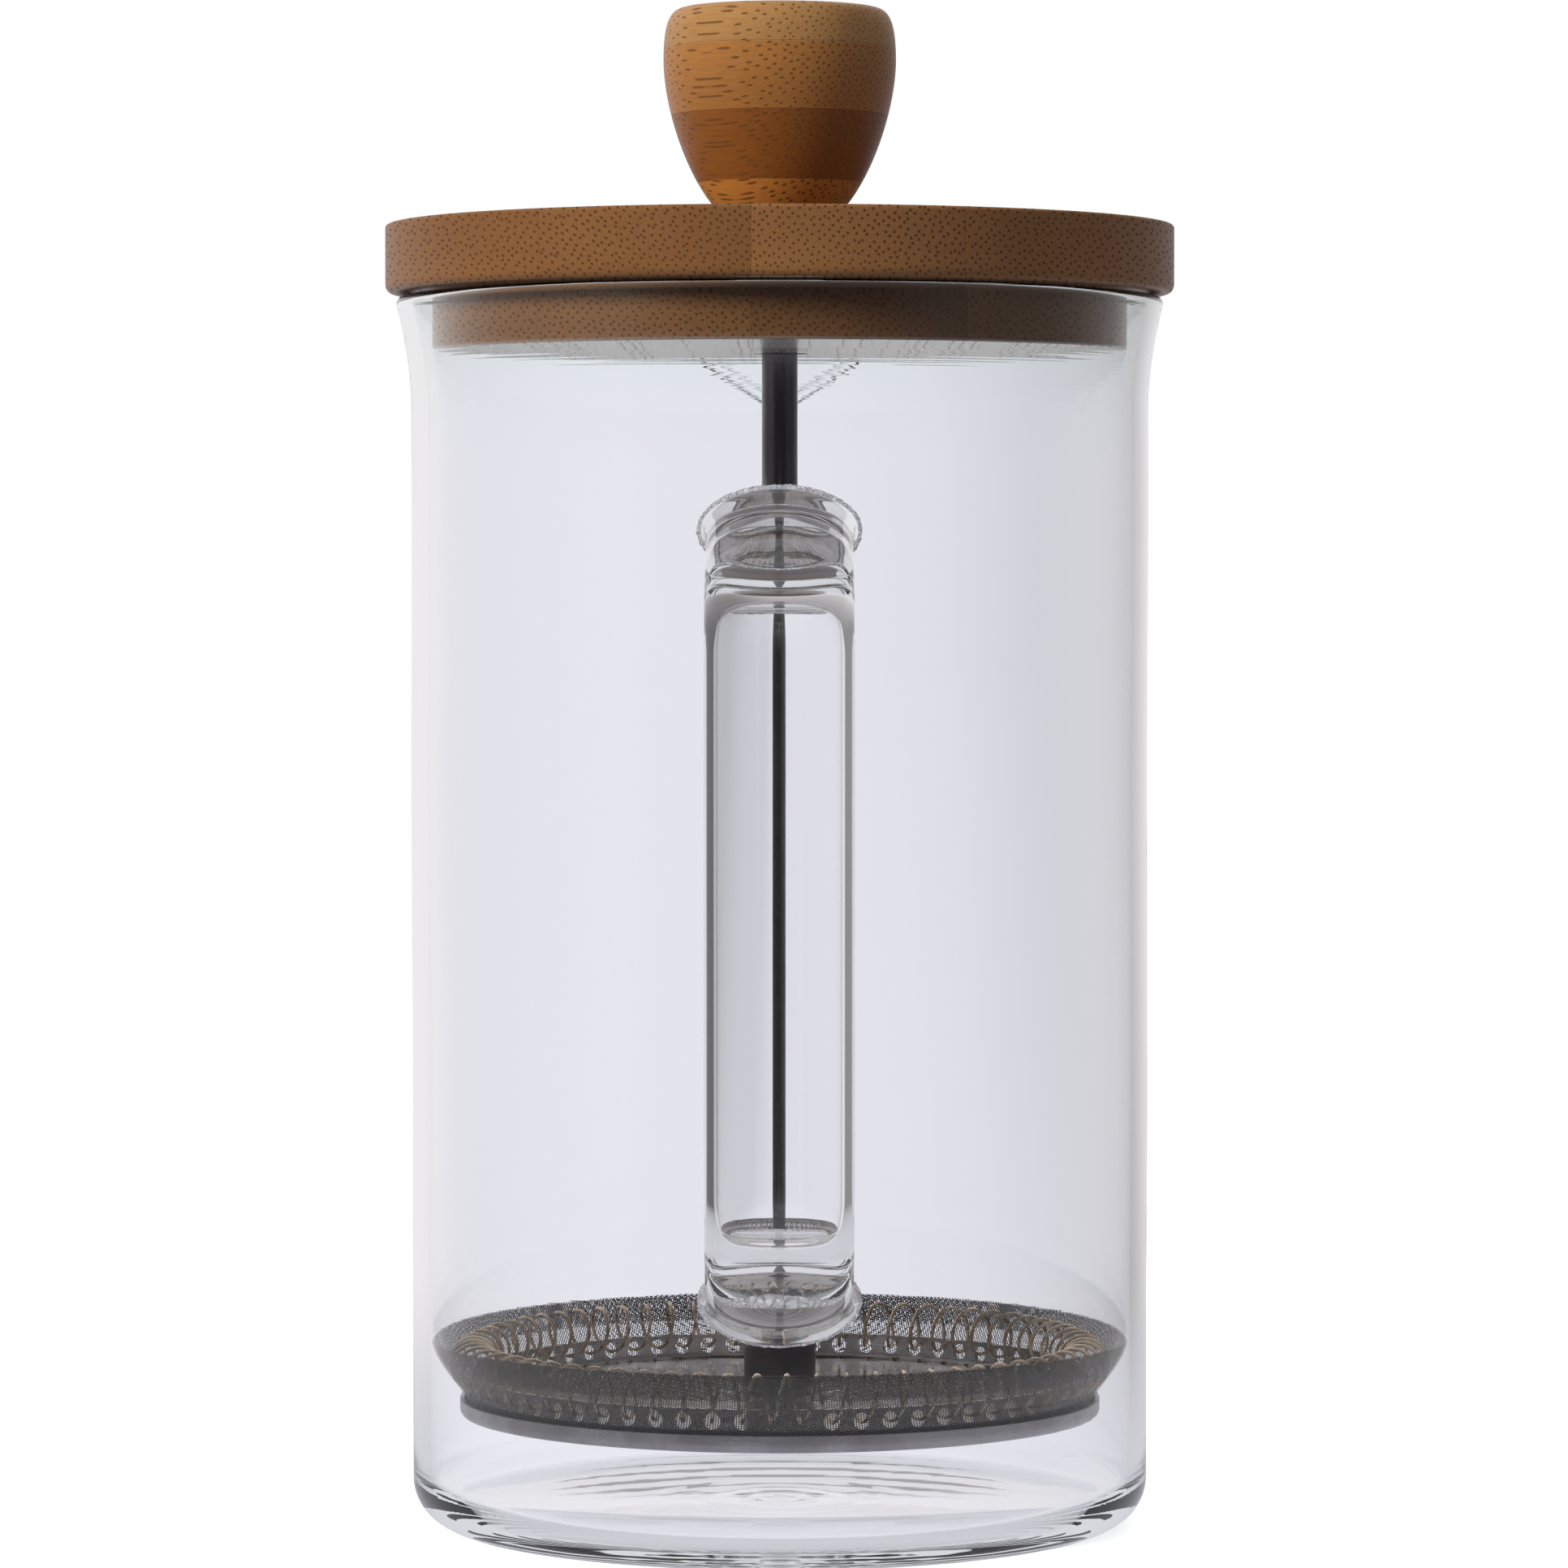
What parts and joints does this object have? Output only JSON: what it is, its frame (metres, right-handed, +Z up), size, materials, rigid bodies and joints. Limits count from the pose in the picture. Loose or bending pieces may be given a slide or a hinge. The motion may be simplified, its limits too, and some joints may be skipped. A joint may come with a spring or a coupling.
{
  "type": "french press",
  "caption": "Glass french press with a bent glass strap handle, a flat bamboo lid and knob, and a sliding plunger with a sprung mesh filter.",
  "frame": {"origin": "on the beaker's axis, at the underside of its base", "axes": "+Z up along the plunger rod, the handle points to -Y and the pouring spout to +Y"},
  "size_m": [0.0922, 0.1247, 0.1779],
  "materials": {
    "glass": "clear borosilicate, fire polished",
    "bamboo": "fine sanded, laminated strips, thin oil",
    "steel": "pressed stainless sheet, satin",
    "dark_steel": "bright drawn stainless, dark reflections",
    "woven_steel": "plain woven wire cloth",
    "spring_wire": "heat tinted spring wire",
    "brass": "machined"
  },
  "bodies": {
    "beaker": {"glass_beaker": "glass", "glass_handle": "glass"},
    "lid": {"lid_disc": "bamboo", "lid_plug": "bamboo", "rod_sleeve": "steel"},
    "plunger": {"plunger_rod": "dark_steel", "rod_collar": "dark_steel", "spring_plate": "dark_steel", "coil_spring": "spring_wire", "filter_mesh": "woven_steel", "mesh_eyelet_upper": "steel", "mesh_eyelet_lower": "steel"},
    "knob": {"knob": "bamboo", "knob_insert": "brass"},
    "pan": {"cross_plate": "steel", "plate_nut": "steel"}
  },
  "joints": [
    {"name": "lid_lift", "type": "slide", "parent": "beaker", "child": "lid", "axis": [0, 0, 1], "range_m": [0, 0.15]},
    {"name": "plunger_slide", "type": "slide", "parent": "lid", "child": "plunger", "axis": [0, 0, 1], "range_m": [0, 0.1143]},
    {"name": "knob_turn", "type": "hinge", "parent": "plunger", "child": "knob", "pos_m": [0, 0, 0.1524], "axis": [0, 0, 1], "continuous": true},
    {"name": "pan_turn", "type": "hinge", "parent": "plunger", "child": "pan", "pos_m": [0, 0, 0.0124], "axis": [0, 0, 1], "continuous": true}
  ]
}
